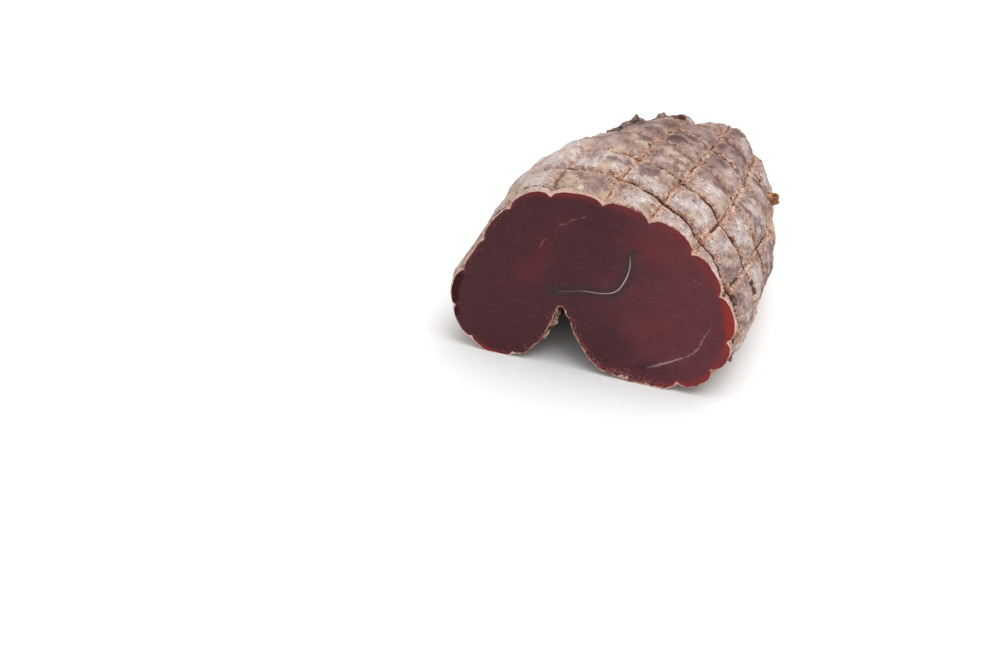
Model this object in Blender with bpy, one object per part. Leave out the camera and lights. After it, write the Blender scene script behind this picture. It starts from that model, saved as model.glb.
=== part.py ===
"""Venison cecina: the tied end of a cured leg muscle that dried in a net, cut square across.

The block lies on its two lobes. The cut faces -Y and leans back, and the tied end points to +Y.
It is one solid: the outline of the cut carried along the length and closed to a blunt end, with
the pillows that the net pressed into the crust, the cleft under the piece, and the crags, flaps
and tags of dried crust that stand out of it.
"""
import math

import bmesh
import bpy
import numpy as np
from mathutils import Matrix, Vector
from mathutils import noise

MM = 0.001

# Driving dimensions, in millimetres
LENGTH = 108.0
CUT_HALF_WIDTH = 60.0
CUT_HEIGHT = 79.0
CUT_LEAN = math.radians(13.0)
FULL_SECTION_LENGTH = 49.0
END_POINT = (28.0, 40.0)
END_BLUNTNESS = 3.3
END_ROUNDNESS = 2.8
MEAN_RADIUS = 42.3

# Cleft under the piece: it fills with meat towards the tied end, along these shares of the
# length and over these distances round the outline from its top
CLEFT_FILLING = 0.75
CLEFT_FILLS_BETWEEN = (0.35, 0.95)
CLEFT_FILLS_ACROSS = (8.0, 45.0)

# Reach of the section at the cut, at one third, at two thirds and at the end of the length
LEFT_REACH = (-60.0, -52.0, -44.0, -39.0)
RIGHT_REACH = (60.0, 64.8, 63.5, 66.0)
TOP_REACH = (77.0, 82.5, 75.5, 76.0)

# Outline of the cut, across and up its leaning face, from the top of the cleft down its left
# wall, round the left lobe, over the top and down round the right lobe
OUTLINE = (
    (-13.0, 27.5), (-18.2, 15.5), (-25.5, 4.0), (-38.5, -0.8), (-51.8, 5.0), (-59.2, 17.5),
    (-59.3, 30.5), (-52.5, 45.0), (-45.0, 60.5), (-33.0, 72.8), (-16.5, 79.0), (2.0, 79.0),
    (21.0, 75.0), (38.5, 66.0), (52.0, 52.0), (59.8, 36.0), (58.8, 20.0), (50.5, 7.0),
    (36.0, 0.6), (20.5, -0.8), (7.0, 3.0), (-3.0, 12.5), (-8.0, 22.0),
)

# Net: places of its lengthwise cords round the outline, and of its rings behind the cut,
# measured along the surface down the left side, over the top and down the right side
CORDS = (33.0, 54.0, 71.0, 90.0, 107.0, 127.0, 147.0, 170.0, 190.5, 212.5, 234.0, 256.0,
         272.0, 290.0, 313.0)
RINGS_LEFT = (1.8, 15.0, 32.0, 50.0, 68.0, 86.0, 103.0, 118.0)
RINGS_TOP = (-3.0, 12.0, 28.0, 53.0, 74.0, 92.0, 108.0, 121.0)
RINGS_RIGHT = (-11.0, 3.0, 18.0, 37.0, 60.0, 80.0, 100.0, 117.0)
LEFT_SIDE = 95.0
TOP_SIDE = 162.0
RIGHT_SIDE = 232.0
UNDERSIDE = 75.0
NET_STARTS = (25.0, 37.0)
NET_STOPS = (315.0, 327.0)
NET_LOOSER_AT_END = 0.55
CORD_DRIFT = 3.0
CORD_DRIFT_END = 35.0

# Swells and hollows of the whole muscle: place round and behind the cut, reach round and
# behind it, and height
SWELLS = (
    (194.0, 108.0, 24.0, 24.0, 4.0),
    (132.0, 80.0, 40.0, 50.0, -6.0),
    (168.0, 100.0, 24.0, 22.0, -1.5),
    (246.0, 82.0, 28.0, 34.0, -4.5),
    (262.0, 40.0, 36.0, 40.0, -0.6),
    (60.0, 0.0, 60.0, 20.0, 0.8),
)

# Pillows that the net pressed into the crust, each with its own height
PILLOW_HEIGHT = 2.7
PILLOW_HEIGHTS_VARY = (0.72, 1.18)
PILLOW_SEED = 11
PILLOW_SQUARENESS = 3.0
PILLOW_MEAN = 0.5
RING_DEPTH = 0.65
END_FADE = 9.0
NEAR_CUT = 9.0

# Low waves of the dried crust: length round the piece, length along it, and start
UNEVEN_HEIGHT = 0.7
UNEVEN_WAVES = ((17.0, 23.0, 0.6), (9.5, -14.0, 0.0), (31.0, -7.5, 2.0))

# Sinking of the underside onto the table, behind the cut and near the table
SETTLED = 1.8
SETTLES_BEHIND = (10.0, 80.0)
SETTLES_BELOW = (3.0, 16.0)

# Crags, flaps and tags of dried crust: place round and behind the cut, and half sizes across,
# lengthwise and outwards
CRAGS = (
    (135.0, 93.0, (7.5, 6.0, 2.7)),
    (149.0, 105.0, (9.0, 5.0, 2.6)),
    (130.0, 115.0, (6.0, 6.0, 2.4)),
    (110.0, 108.0, (7.0, 5.0, 2.4)),
    (86.0, 122.0, (6.0, 5.0, 2.4)),
    (205.0, 127.0, (6.5, 4.0, 2.4)),
    (290.0, 124.0, (6.0, 4.5, 2.4)),
    (240.0, 90.0, (3.4, 1.6, 4.6)),
    (266.0, 7.0, (1.8, 1.6, 1.8)),
)
CRAG_RAGGEDNESS = 0.6
CRAG_LUMPINESS = 1.4
CRAG_STAND = -0.05
CRAG_SEED = 7.3

CUT_MATERIAL = 1
SHARP_ANGLE = math.radians(50.0)

# Faces
FACES_ACROSS_PILLOW = 6
FACES_ACROSS_CLEFT = 26
FACES_BEFORE_FIRST_RING = 4
FACES_ALONG_PILLOW = 5
FACES_PAST_LAST_RING = 6
PROFILE_STEPS = 400
SLOPE_STEP = 0.5


def smoothstep(low, high, value):
    """Rise softly from 0 at low to 1 at high."""
    share = np.clip((value - low) / (high - low), 0.0, 1.0)
    return share * share * (3.0 - 2.0 * share)


def closed_curve(points, samples_per_span=60):
    """Give a dense smooth closed curve through points, and its length up to each of them."""
    points = np.array(points)
    before = np.roll(points, 1, axis=0)
    after = np.roll(points, -1, axis=0)
    beyond = np.roll(points, -2, axis=0)
    share = (np.arange(samples_per_span) / samples_per_span)[None, :, None]
    start = points[:, None, :]
    slope = 0.5 * (after - before)[:, None, :]
    next_slope = 0.5 * (beyond - points)[:, None, :]
    rise = (after - points)[:, None, :]
    curve = (start + slope * share
             + (3.0 * rise - 2.0 * slope - next_slope) * share ** 2
             + (slope + next_slope - 2.0 * rise) * share ** 3)
    curve = curve.reshape(-1, 2)
    curve = np.vstack([curve, curve[:1]])
    steps = np.hypot(*np.diff(curve, axis=0).T)
    return curve, np.concatenate([[0.0], np.cumsum(steps)])


OUTLINE_CURVE, OUTLINE_DISTANCE = closed_curve(OUTLINE)
OUTLINE_LENGTH = OUTLINE_DISTANCE[-1]


def end_profile():
    """Give distance behind the cut and size of the section for distances along the surface."""
    turn = np.linspace(0.0, math.pi / 2.0, PROFILE_STEPS)
    end_length = LENGTH - FULL_SECTION_LENGTH
    behind = FULL_SECTION_LENGTH + end_length * np.sin(turn) ** (2.0 / END_BLUNTNESS)
    size = np.clip(np.cos(turn), 0.0, 1.0) ** (2.0 / END_ROUNDNESS)
    steps = np.hypot(np.diff(behind), MEAN_RADIUS * np.diff(size))
    travelled = FULL_SECTION_LENGTH + np.concatenate([[0.0], np.cumsum(steps)])
    travelled = np.concatenate([[0.0], travelled])
    return travelled, np.concatenate([[0.0], behind]), np.concatenate([[1.0], size])


TRAVELLED, BEHIND_CUT, SECTION_SIZE = end_profile()
SURFACE_LENGTH = TRAVELLED[-1]


def reach(stations, share):
    """Follow four stations, a third of the length apart, on one smooth curve."""
    return np.polyval(np.polyfit((0.0, 1.0 / 3.0, 2.0 / 3.0, 1.0), stations, 3), share)


def smooth_surface(around, along):
    """Place points by their distances round the outline and along the surface from the cut."""
    around, along = np.broadcast_arrays(around, along)
    across = np.interp(around % OUTLINE_LENGTH, OUTLINE_DISTANCE, OUTLINE_CURVE[:, 0])
    up = np.interp(around % OUTLINE_LENGTH, OUTLINE_DISTANCE, OUTLINE_CURVE[:, 1])
    behind = np.interp(along, TRAVELLED, BEHIND_CUT)
    size = np.interp(along, TRAVELLED, SECTION_SIZE)
    share = behind / LENGTH
    from_cleft = np.minimum(around % OUTLINE_LENGTH, -around % OUTLINE_LENGTH)
    filled = CLEFT_FILLING * smoothstep(*CLEFT_FILLS_BETWEEN, share)
    filled = filled * (1.0 - smoothstep(*CLEFT_FILLS_ACROSS, from_cleft))
    up = up * (1.0 - filled)
    left = reach(LEFT_REACH, share)
    right = reach(RIGHT_REACH, share)
    x = left + (across + CUT_HALF_WIDTH) / (2.0 * CUT_HALF_WIDTH) * (right - left)
    z = up / CUT_HEIGHT * reach(TOP_REACH, share)
    x = END_POINT[0] + (x - END_POINT[0]) * size
    z = END_POINT[1] + (z - END_POINT[1]) * size
    y = behind + z * math.tan(CUT_LEAN) * (1.0 - share)
    return np.stack([x, y, z], axis=-1)


def ring_places(around):
    """Give the distance of each ring behind the cut, at places round the outline."""
    to_left = 1.0 - smoothstep(LEFT_SIDE, TOP_SIDE, around)
    to_right = smoothstep(TOP_SIDE, RIGHT_SIDE, around)
    under_left = 1.0 - smoothstep(0.0, UNDERSIDE, around)
    under_right = smoothstep(OUTLINE_LENGTH - UNDERSIDE, OUTLINE_LENGTH, around)
    rings = []
    for left, top, right in zip(RINGS_LEFT, RINGS_TOP, RINGS_RIGHT):
        halfway = 0.5 * (left + right)
        rings.append(top + (left - top) * to_left + (right - top) * to_right
                     + (halfway - left) * under_left + (halfway - right) * under_right)
    return np.array(rings)


def cord_drift(along):
    """Give how far the lengthwise cords swing round the piece behind the cut."""
    return CORD_DRIFT * smoothstep(0.0, CORD_DRIFT_END, along)


def phase_between(lines, value):
    """Count the lines passed, with the fraction of the gap to the next one."""
    passed = np.zeros(np.broadcast(lines[0], value).shape)
    for line, next_line in zip(lines[:-1], lines[1:]):
        passed = passed + np.clip((value - line) / (next_line - line), 0.0, 1.0)
    return passed


def bulge(phase):
    """Round up between two cords of the net, from 0 on a cord to 1 halfway."""
    fraction = phase - np.floor(phase)
    return 1.0 - np.abs(2.0 * fraction - 1.0) ** PILLOW_SQUARENESS


def pillow_heights(count_along, count_around):
    """Give each pillow of the net its own height, as uneven as dried meat is."""
    draw = np.random.default_rng(PILLOW_SEED)
    return draw.uniform(*PILLOW_HEIGHTS_VARY, (count_along, count_around))


def relief(around, along):
    """Height of the crust over the smooth surface, in millimetres."""
    around = (around - cord_drift(along)) % OUTLINE_LENGTH
    cord_phase = phase_between(CORDS, around)
    ring_phase = phase_between(ring_places(around), along)
    heights = pillow_heights(len(RINGS_TOP), len(CORDS))
    height = heights[np.floor(ring_phase).astype(int), np.floor(cord_phase).astype(int)]
    pillow = bulge(cord_phase) * (1.0 - RING_DEPTH + RING_DEPTH * bulge(ring_phase)) * height
    size = np.interp(along, TRAVELLED, SECTION_SIZE)
    netted = smoothstep(*NET_STARTS, around) * (1.0 - smoothstep(*NET_STOPS, around))
    netted = netted * (1.0 - NET_LOOSER_AT_END * (1.0 - size))
    waves = [np.sin(around / wide + along / long + start) for wide, long, start in UNEVEN_WAVES]
    height = PILLOW_HEIGHT * (pillow - PILLOW_MEAN) * netted + UNEVEN_HEIGHT * np.mean(waves, axis=0)
    for swell_around, swell_along, half_width, half_length, swell_height in SWELLS:
        distance = np.hypot((around - swell_around) / half_width, (along - swell_along) / half_length)
        height = height + swell_height * (1.0 - smoothstep(0.0, 1.0, distance))
    return height * (1.0 - smoothstep(SURFACE_LENGTH - END_FADE, SURFACE_LENGTH, along))


def outward(around, along):
    """Direction out of the smooth surface, turned into the cut's own plane at the cut."""
    along = np.clip(along, SLOPE_STEP, SURFACE_LENGTH - 2.0 * SLOPE_STEP)
    ahead = smooth_surface(around + SLOPE_STEP, along)
    behind = smooth_surface(around, along + SLOPE_STEP)
    tangent_round = ahead - smooth_surface(around - SLOPE_STEP, along)
    tangent_back = behind - smooth_surface(around, along - SLOPE_STEP)
    normal = np.cross(tangent_round, tangent_back)
    normal = normal / np.linalg.norm(normal, axis=-1, keepdims=True)
    cut_normal = np.array([0.0, -math.cos(CUT_LEAN), math.sin(CUT_LEAN)])
    near_cut = (1.0 - smoothstep(SLOPE_STEP, NEAR_CUT, along))[..., None]
    sideways = np.sum(normal * cut_normal, axis=-1, keepdims=True)
    normal = normal - near_cut * sideways * cut_normal
    return normal / np.linalg.norm(normal, axis=-1, keepdims=True)


def crust_surface(around, along):
    """Place points of the crust, pressed flat where the piece lies on the table."""
    points = smooth_surface(around, along)
    points = points + relief(around, along)[..., None] * outward(around, along)
    x, y, z = np.moveaxis(points, -1, 0)
    sunk = SETTLED * smoothstep(*SETTLES_BEHIND, y) * (1.0 - smoothstep(*SETTLES_BELOW, z))
    pressed = np.maximum(z - sunk, 0.0)
    lean = math.tan(CUT_LEAN) * (1.0 - np.interp(along, TRAVELLED, BEHIND_CUT) / LENGTH)
    return np.stack([x, y + (pressed - z) * lean, pressed], axis=-1)


def crust_places():
    """Give the rows of the crust as places round the outline and along the surface."""
    places = []
    for cord, next_cord in zip(CORDS[:-1], CORDS[1:]):
        places.extend(np.linspace(cord, next_cord, FACES_ACROSS_PILLOW, endpoint=False))
    to_first_cord = OUTLINE_LENGTH + CORDS[0]
    places.extend(np.linspace(CORDS[-1], to_first_cord, FACES_ACROSS_CLEFT, endpoint=False))
    around = np.array(places) % OUTLINE_LENGTH
    stops = [np.zeros_like(around)] + list(ring_places(around)[1:])
    stops.append(np.full_like(around, SURFACE_LENGTH))
    counts = [FACES_BEFORE_FIRST_RING] + [FACES_ALONG_PILLOW] * (len(stops) - 3)
    counts.append(FACES_PAST_LAST_RING)
    rows = []
    for stop, next_stop, count in zip(stops[:-1], stops[1:], counts):
        for share in np.arange(count) / count:
            rows.append(stop + (next_stop - stop) * share)
    return around, np.array(rows)


def crust_mesh():
    """Build the crust row by row, with a flat cut in front and a point at the tied end."""
    around, rows = crust_places()
    points = crust_surface(around + cord_drift(rows), rows)
    end = crust_surface(np.array([TOP_SIDE]), np.array([SURFACE_LENGTH]))[0]
    bm = bmesh.new()
    grid = [[bm.verts.new(point) for point in row] for row in points]
    tip = bm.verts.new(end)
    for row, next_row in zip(grid[:-1], grid[1:]):
        for column in range(len(row)):
            bm.faces.new((row[column - 1], next_row[column - 1], next_row[column], row[column]))
    for column in range(len(grid[-1])):
        bm.faces.new((grid[-1][column - 1], tip, grid[-1][column]))
    cut = bm.faces.new(grid[0])
    cut.material_index = CUT_MATERIAL
    bmesh.ops.recalc_face_normals(bm, faces=bm.faces)
    return bm


def mesh_object(name, bm, materials):
    """Turn a bmesh in millimetres into an object in metres."""
    bmesh.ops.scale(bm, vec=(MM, MM, MM), verts=bm.verts)
    mesh = bpy.data.meshes.new(name)
    bm.to_mesh(mesh)
    bm.free()
    for material in materials:
        mesh.materials.append(material)
    made = bpy.data.objects.new(name, mesh)
    bpy.context.scene.collection.objects.link(made)
    return made


def crag_mesh(around, along, size, seed):
    """Build a ragged lump of dried crust, sunk into the surface where it stands."""
    bm = bmesh.new()
    bmesh.ops.create_icosphere(bm, subdivisions=2, radius=1.0)
    for vert in bm.verts:
        ragged = noise.noise(vert.co * CRAG_LUMPINESS + Vector((seed, 0.0, 0.0)))
        vert.co *= 1.0 + CRAG_RAGGEDNESS * ragged
        vert.co = Vector((vert.co.x * size[0], vert.co.y * size[1], vert.co.z * size[2]))
    place = np.array([around])
    depth = np.array([along])
    normal = Vector(outward(place, depth)[0])
    behind = crust_surface(place, depth + SLOPE_STEP)
    back = Vector((behind - crust_surface(place, depth - SLOPE_STEP))[0])
    side = back.cross(normal).normalized()
    turn = Matrix((side, normal.cross(side), normal)).transposed().to_4x4()
    centre = Vector(crust_surface(place, depth)[0]) + CRAG_STAND * size[2] * normal
    bmesh.ops.transform(bm, matrix=Matrix.Translation(centre) @ turn, verts=bm.verts)
    return bm


def plain_material(name, colour, roughness):
    """Make a matte or moist surface of one colour."""
    material = bpy.data.materials.new(name)
    material.use_nodes = True
    shader = material.node_tree.nodes["Principled BSDF"]
    shader.inputs["Base Color"].default_value = (*colour, 1.0)
    shader.inputs["Roughness"].default_value = roughness
    shader.inputs["Metallic"].default_value = 0.0
    return material


def join_crags(block, materials):
    """Fuse the crags to the block, and remove the objects that they were made as."""
    crags = bpy.data.collections.new("crags")
    bpy.context.scene.collection.children.link(crags)
    for number, (around, along, size) in enumerate(CRAGS):
        lump = crag_mesh(around, along, size, CRAG_SEED * number)
        crag = mesh_object(f"crag_{number}", lump, materials)
        bpy.context.scene.collection.objects.unlink(crag)
        crags.objects.link(crag)
    union = block.modifiers.new("crags", "BOOLEAN")
    union.operation = "UNION"
    union.operand_type = "COLLECTION"
    union.solver = "MANIFOLD"
    union.collection = crags
    bpy.context.view_layer.objects.active = block
    bpy.ops.object.modifier_apply(modifier=union.name)
    for crag in list(crags.objects):
        bpy.data.objects.remove(crag)
    bpy.data.collections.remove(crags)


def move_origin(block):
    """Put the origin under the middle of the block's box, on the table."""
    corners = np.array([corner[:] for corner in block.bound_box])
    low = corners.min(axis=0)
    middle = 0.5 * (low + corners.max(axis=0))
    block.data.transform(Matrix.Translation((-middle[0], -middle[1], -low[2])))


for old in list(bpy.data.objects):
    bpy.data.objects.remove(old)

dried_crust = plain_material("dried_crust", (0.36, 0.27, 0.23), 0.85)
cured_meat = plain_material("cured_meat", (0.075, 0.02, 0.022), 0.4)
block_materials = (dried_crust, cured_meat)
cecina = mesh_object("cecina", crust_mesh(), block_materials)
join_crags(cecina, block_materials)
move_origin(cecina)
cecina.data.shade_smooth()
cecina.data.set_sharp_from_angle(angle=SHARP_ANGLE)
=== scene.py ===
"""Venison cecina: the tied end of a cured leg muscle that dried in a net, cut square across."""
import math

import bpy
import numpy as np
from mathutils import Matrix, Vector, geometry, noise


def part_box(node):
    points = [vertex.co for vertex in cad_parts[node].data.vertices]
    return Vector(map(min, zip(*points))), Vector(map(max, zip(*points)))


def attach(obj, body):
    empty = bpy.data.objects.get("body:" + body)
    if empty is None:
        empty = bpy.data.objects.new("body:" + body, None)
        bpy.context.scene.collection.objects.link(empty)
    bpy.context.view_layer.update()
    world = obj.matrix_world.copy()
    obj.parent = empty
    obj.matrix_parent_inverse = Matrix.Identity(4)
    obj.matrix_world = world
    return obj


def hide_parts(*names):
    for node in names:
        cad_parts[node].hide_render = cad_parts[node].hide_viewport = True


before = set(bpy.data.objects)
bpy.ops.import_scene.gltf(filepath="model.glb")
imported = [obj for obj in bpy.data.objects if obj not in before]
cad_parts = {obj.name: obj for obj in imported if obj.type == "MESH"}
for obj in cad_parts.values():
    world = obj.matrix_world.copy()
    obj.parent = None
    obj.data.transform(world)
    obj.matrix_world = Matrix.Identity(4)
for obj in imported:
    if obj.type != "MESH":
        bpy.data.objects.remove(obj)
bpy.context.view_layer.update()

cecina_box = np.array(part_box("cecina"))
bpy.ops.object.select_all(action="DESELECT")


# Studio: a sheet of white paper under and behind the piece, a white room round it, and a broad
# soft box above it on the right. The camera looks down on the cut from the front, a little from
# the right.
MM = 0.001
PAPER_SIZE = 8.0
PAPER_COLOUR = (0.86, 0.86, 0.86, 1.0)
PAPER_ROUGHNESS = 0.6
ROOM_COLOUR = (1.0, 1.0, 1.0, 1.0)
ROOM_STRENGTH = 0.6
SOFT_BOX_PLACE = (0.55, 0.5, 2.2)
SOFT_BOX_SIZE = 2.4
SOFT_BOX_POWER = 62.0
CAMERA_PLACE = (195.7 * MM, -751.5 * MM, 627.7 * MM)
CAMERA_TURN = (math.radians(50.0), 0.0, math.radians(18.615))
CAMERA_LENS = 82.8
CAMERA_SENSOR = 36.0

bpy.ops.mesh.primitive_plane_add(size=PAPER_SIZE)
paper = bpy.context.object
paper.name = "paper"
paper_finish = bpy.data.materials.new("white_paper")
paper_finish.use_nodes = True
paper_shader = paper_finish.node_tree.nodes["Principled BSDF"]
paper_shader.inputs["Base Color"].default_value = PAPER_COLOUR
paper_shader.inputs["Roughness"].default_value = PAPER_ROUGHNESS
paper.data.materials.append(paper_finish)

room = bpy.data.worlds.new("white_room")
room.use_nodes = True
room_light = room.node_tree.nodes["Background"]
room_light.inputs["Color"].default_value = ROOM_COLOUR
room_light.inputs["Strength"].default_value = ROOM_STRENGTH
bpy.context.scene.world = room

bpy.ops.object.light_add(type="AREA", location=SOFT_BOX_PLACE)
soft_box = bpy.context.object
soft_box.data.size = SOFT_BOX_SIZE
soft_box.data.energy = SOFT_BOX_POWER
soft_box.rotation_euler = Vector(SOFT_BOX_PLACE).to_track_quat("Z", "Y").to_euler()

bpy.ops.object.camera_add(location=CAMERA_PLACE, rotation=CAMERA_TURN)
camera = bpy.context.object
camera.data.lens = CAMERA_LENS
camera.data.sensor_width = CAMERA_SENSOR
bpy.context.scene.camera = camera
bpy.context.scene.view_settings.view_transform = "Standard"


# Crust: the outside of the muscle, dried hard, pressed into pillows by the net and dusted with
# pale mould. It is one shell from the cut to the tied end. A thin rim of rind shows round the
# cut, and the cut meat sits in a shallow seat inside it.
LENGTH = 108.0
CUT_HALF_WIDTH = 60.0
CUT_HEIGHT = 79.0
CUT_LEAN = math.radians(13.0)
FULL_SECTION_LENGTH = 49.0
END_POINT = (28.0, 40.0)
END_BLUNTNESS = 3.3
END_ROUNDNESS = 2.8
MEAN_RADIUS = 42.3
PROFILE_STEPS = 400
LEFT_REACH = (-60, -52, -44, -39)
RIGHT_REACH = (60, 64.8, 63.5, 66)
TOP_REACH = (77, 82.5, 75.5, 76)
CLEFT_FILLING = 0.75
CLEFT_FILLS_BETWEEN = (0.35, 0.95)
CLEFT_FILLS_ACROSS = (8.0, 45.0)
OUTLINE = (
    (-13, 27.5), (-18.2, 15.5), (-25.5, 4), (-38.5, -0.8), (-51.8, 5), (-59.2, 17.5), (-59.3, 30.5),
    (-52.5, 45), (-45, 60.5), (-33, 72.8), (-16.5, 79), (2, 79), (21, 75), (38.5, 66), (52, 52),
    (59.8, 36), (58.8, 20), (50.5, 7), (36, 0.6), (20.5, -0.8), (7, 3), (-3, 12.5), (-8, 22),
)
CORDS = (33, 54, 71, 90, 107, 127, 147, 170, 190.5, 212.5, 234, 256, 272, 290, 313)
RINGS_LEFT = (1.8, 15, 32, 50, 68, 86, 103, 118)
RINGS_TOP = (-3, 12, 28, 53, 74, 92, 108, 121)
RINGS_RIGHT = (-11, 3, 18, 37, 60, 80, 100, 117)
LEFT_SIDE = 95.0
TOP_SIDE = 162.0
RIGHT_SIDE = 232.0
UNDERSIDE = 75.0
NET_STARTS = (25.0, 37.0)
NET_STOPS = (315.0, 327.0)
NET_LOOSER_AT_END = 0.55
CORD_DRIFT = 3.0
CORD_DRIFT_END = 35.0
SWELLS = (
    (194, 108, 24, 24, 4), (132, 80, 40, 50, -6), (168, 100, 24, 22, -1.5), (246, 82, 28, 34, -4.5),
    (262, 40, 36, 40, -0.6), (60, 0, 60, 20, 0.8),
)
PILLOW_HEIGHT = 2.7
PILLOW_HEIGHTS_VARY = (0.72, 1.18)
PILLOW_SEED = 11
PILLOW_SQUARENESS = 3.0
PILLOW_MEAN = 0.5
RING_DEPTH = 0.65
END_FADE = 9.0
NEAR_CUT = 9.0
UNEVEN_HEIGHT = 0.7
UNEVEN_WAVES = ((17.0, 23.0, 0.6), (9.5, -14.0, 0.0), (31.0, -7.5, 2.0))
SETTLED = 1.8
SETTLES_BEHIND = (10.0, 80.0)
SETTLES_BELOW = (3.0, 16.0)
SLOPE_STEP = 0.5
OCTAVE_FADE = 1.0
OCTAVE_STEP = 2.0


def smoothstep(low, high, value):
    """Rise softly from 0 at low to 1 at high."""
    share = np.clip((value - low) / (high - low), 0.0, 1.0)
    return share * share * (3.0 - 2.0 * share)


def smooth_curve(before, first, second, after, share):
    """Follow a smooth curve from the first point to the second, between the points beside them."""
    slope = 0.5 * (second - before)
    next_slope = 0.5 * (after - first)
    rise = second - first
    return (first + slope * share + (3.0 * rise - 2.0 * slope - next_slope) * share ** 2
            + (slope + next_slope - 2.0 * rise) * share ** 3)


def closed_curve(points, samples_per_span=60):
    """Give a dense smooth closed curve through points, and its length up to each of them."""
    neighbours = [np.roll(points, turn, axis=0)[:, None] for turn in (1, 0, -1, -2)]
    share = (np.arange(samples_per_span) / samples_per_span)[:, None]
    curve = smooth_curve(*neighbours, share).reshape(-1, 2)
    curve = np.vstack([curve, curve[:1]])
    steps = np.hypot(*np.diff(curve, axis=0).T)
    return curve, np.concatenate([[0.0], np.cumsum(steps)])


OUTLINE_CURVE, OUTLINE_DISTANCE = closed_curve(OUTLINE)
OUTLINE_LENGTH = OUTLINE_DISTANCE[-1]


def end_profile():
    """Give distance behind the cut and size of the section for distances along the surface."""
    turn = np.linspace(0.0, math.pi / 2.0, PROFILE_STEPS)
    end_length = LENGTH - FULL_SECTION_LENGTH
    behind = FULL_SECTION_LENGTH + end_length * np.sin(turn) ** (2.0 / END_BLUNTNESS)
    size = np.clip(np.cos(turn), 0.0, 1.0) ** (2.0 / END_ROUNDNESS)
    steps = np.hypot(np.diff(behind), MEAN_RADIUS * np.diff(size))
    travelled = FULL_SECTION_LENGTH + np.concatenate([[0.0], np.cumsum(steps)])
    travelled = np.concatenate([[0.0], travelled])
    return travelled, np.concatenate([[0.0], behind]), np.concatenate([[1.0], size])


TRAVELLED, BEHIND_CUT, SECTION_SIZE = end_profile()
SURFACE_LENGTH = TRAVELLED[-1]


def reach(stations, share):
    """Follow four stations, a third of the length apart, on one smooth curve."""
    return np.polyval(np.polyfit((0.0, 1.0 / 3.0, 2.0 / 3.0, 1.0), stations, 3), share)


def smooth_surface(around, along):
    """Place points by their distances round the outline and along the surface from the cut."""
    around, along = np.broadcast_arrays(around, along)
    across = np.interp(around % OUTLINE_LENGTH, OUTLINE_DISTANCE, OUTLINE_CURVE[:, 0])
    up = np.interp(around % OUTLINE_LENGTH, OUTLINE_DISTANCE, OUTLINE_CURVE[:, 1])
    behind = np.interp(along, TRAVELLED, BEHIND_CUT)
    size = np.interp(along, TRAVELLED, SECTION_SIZE)
    share = behind / LENGTH
    from_cleft = np.minimum(around % OUTLINE_LENGTH, -around % OUTLINE_LENGTH)
    filled = CLEFT_FILLING * smoothstep(*CLEFT_FILLS_BETWEEN, share)
    filled = filled * (1.0 - smoothstep(*CLEFT_FILLS_ACROSS, from_cleft))
    up = up * (1.0 - filled)
    left = reach(LEFT_REACH, share)
    right = reach(RIGHT_REACH, share)
    x = left + (across + CUT_HALF_WIDTH) / (2.0 * CUT_HALF_WIDTH) * (right - left)
    z = up / CUT_HEIGHT * reach(TOP_REACH, share)
    x = END_POINT[0] + (x - END_POINT[0]) * size
    z = END_POINT[1] + (z - END_POINT[1]) * size
    y = behind + z * math.tan(CUT_LEAN) * (1.0 - share)
    return np.stack([x, y, z], axis=-1)


def ring_places(around):
    """Give the distance of each ring of the net behind the cut, at places round the outline."""
    to_left = 1.0 - smoothstep(LEFT_SIDE, TOP_SIDE, around)
    to_right = smoothstep(TOP_SIDE, RIGHT_SIDE, around)
    under_left = 1.0 - smoothstep(0.0, UNDERSIDE, around)
    under_right = smoothstep(OUTLINE_LENGTH - UNDERSIDE, OUTLINE_LENGTH, around)
    rings = []
    for left, top, right in zip(RINGS_LEFT, RINGS_TOP, RINGS_RIGHT):
        halfway = 0.5 * (left + right)
        rings.append(top + (left - top) * to_left + (right - top) * to_right
                     + (halfway - left) * under_left + (halfway - right) * under_right)
    return np.array(rings)


def cord_drift(along):
    """Give how far the lengthwise cords swing round the piece behind the cut."""
    return CORD_DRIFT * smoothstep(0.0, CORD_DRIFT_END, along)


def phase_between(lines, value):
    """Count the lines passed, with the fraction of the gap to the next one."""
    passed = np.zeros(np.broadcast(lines[0], value).shape)
    for line, next_line in zip(lines[:-1], lines[1:]):
        passed = passed + np.clip((value - line) / (next_line - line), 0.0, 1.0)
    return passed


def bulge(phase):
    """Round up between two cords of the net, from 0 on a cord to 1 halfway."""
    fraction = phase - np.floor(phase)
    return 1.0 - np.abs(2.0 * fraction - 1.0) ** PILLOW_SQUARENESS


def by_pillow(seed, spread, ring_phase, cord_phase):
    """Give one random number to each pillow, at places named by the lines that they lie past."""
    draws = np.random.default_rng(seed).uniform(*spread, (len(RINGS_TOP), len(CORDS)))
    return draws[np.floor(ring_phase).astype(int), np.floor(cord_phase).astype(int)]


def spotted(ground, across, along, spots, core=0.0, join=np.maximum):
    """Lay soft spots over a ground, each with its place, half width and length, and strength."""
    for spot_across, spot_along, half_width, half_length, strength in spots:
        away = np.hypot((across - spot_across) / half_width, (along - spot_along) / half_length)
        ground = join(ground, strength * (1.0 - smoothstep(core, 1.0, away)))
    return ground


def netted(around, along):
    """Give how far the net reaches, from 0 in the cleft to 1 outside it."""
    size = np.interp(along, TRAVELLED, SECTION_SIZE)
    share = smoothstep(*NET_STARTS, around) * (1.0 - smoothstep(*NET_STOPS, around))
    return share * (1.0 - NET_LOOSER_AT_END * (1.0 - size))


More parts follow.
